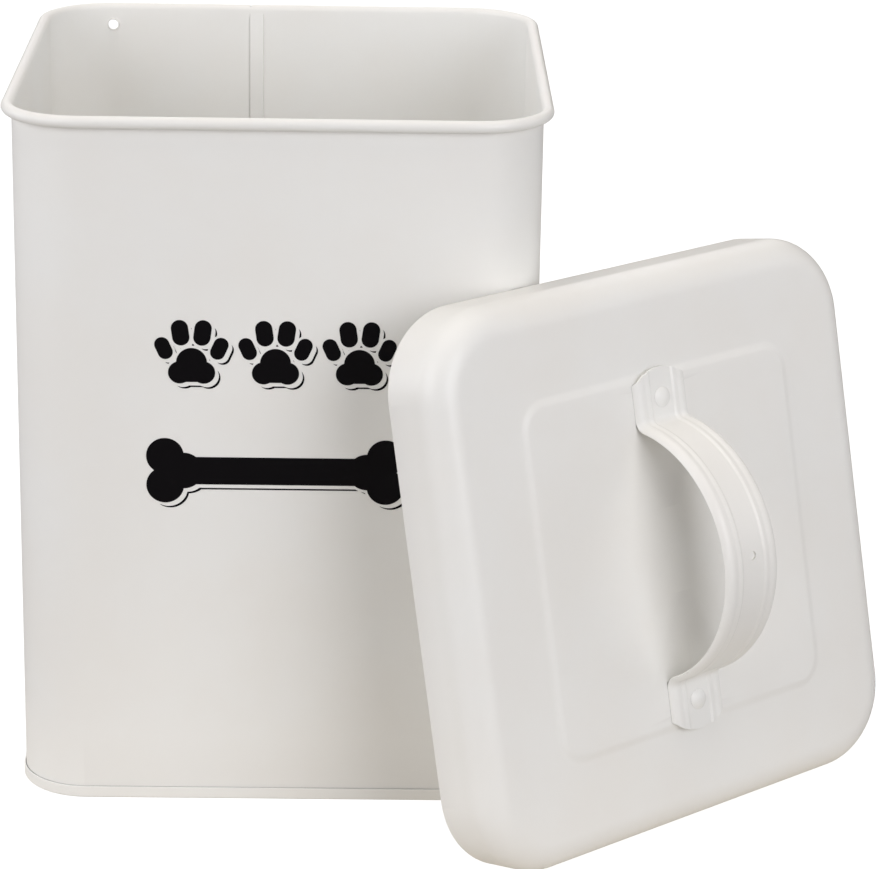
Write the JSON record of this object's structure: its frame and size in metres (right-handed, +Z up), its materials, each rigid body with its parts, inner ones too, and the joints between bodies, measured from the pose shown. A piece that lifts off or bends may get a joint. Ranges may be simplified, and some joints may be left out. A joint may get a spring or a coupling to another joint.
{
  "type": "pet food bin",
  "caption": "Square sheet-steel food bin with a rolled rim and a seamed base, its lift-off lid with an arched strap handle leaning beside it.",
  "frame": {"origin": "middle of the base of the bin, on the floor", "axes": "+Z up, -Y out of the front, +X to the right as seen from the front"},
  "size_m": [0.4149, 0.3483, 0.33],
  "materials": {
    "coat": "satin off-white powder coat",
    "wire": "drawn steel wire",
    "ink": "black transfer"
  },
  "bodies": {
    "bin": {"body_wall": "coat", "rim_wire": "wire", "base_pan": "coat", "front_transfer": "ink"},
    "lid": {"lid_shell": "coat", "handle_strap": "coat", "rivet_upper": "coat", "rivet_lower": "coat"}
  },
  "joints": [
    {"name": "lid_lift", "type": "slide", "parent": "bin", "child": "lid", "axis": [0.6229, -0.7503, 0.2215], "range_m": [0, 0.25]}
  ]
}
